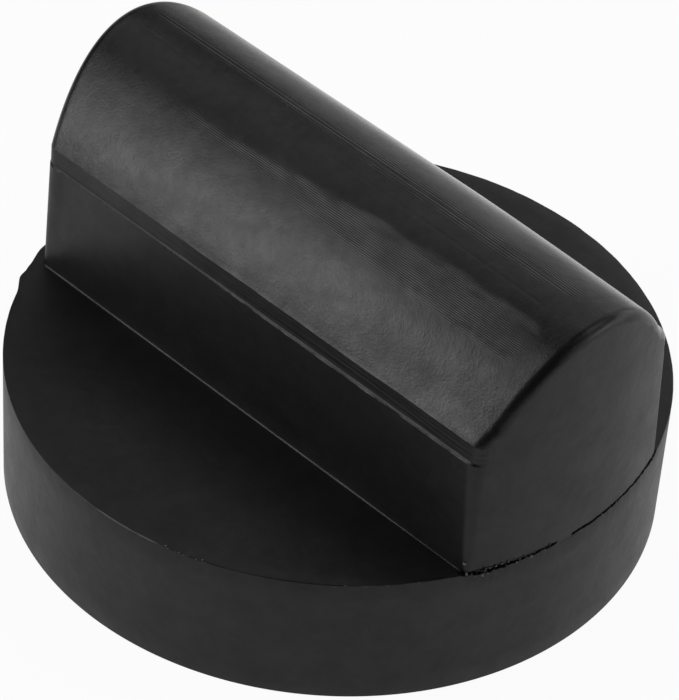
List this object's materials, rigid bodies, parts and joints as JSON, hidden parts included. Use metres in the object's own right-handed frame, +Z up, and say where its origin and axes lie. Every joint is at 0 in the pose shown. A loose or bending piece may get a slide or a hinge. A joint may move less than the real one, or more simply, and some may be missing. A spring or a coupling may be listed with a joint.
{
  "type": "rubber jack pad",
  "caption": "Round moulded rubber disc with a domed tab standing across its whole diameter; it sits between a floor jack and a vehicle, and the tab plugs into the jacking slot.",
  "frame": {"origin": "middle of the flat underside", "axes": "+Z up through the disc to the dome's crown, +X along the tab towards the end that is flush with the disc's rim, +Y across the tab"},
  "size_m": [0.065, 0.065, 0.0387],
  "materials": {
    "rubber": "black moulded rubber, satin, with fine tooling lines along the dome"
  },
  "bodies": {
    "root": {"jack_pad": "rubber"}
  },
  "joints": []
}
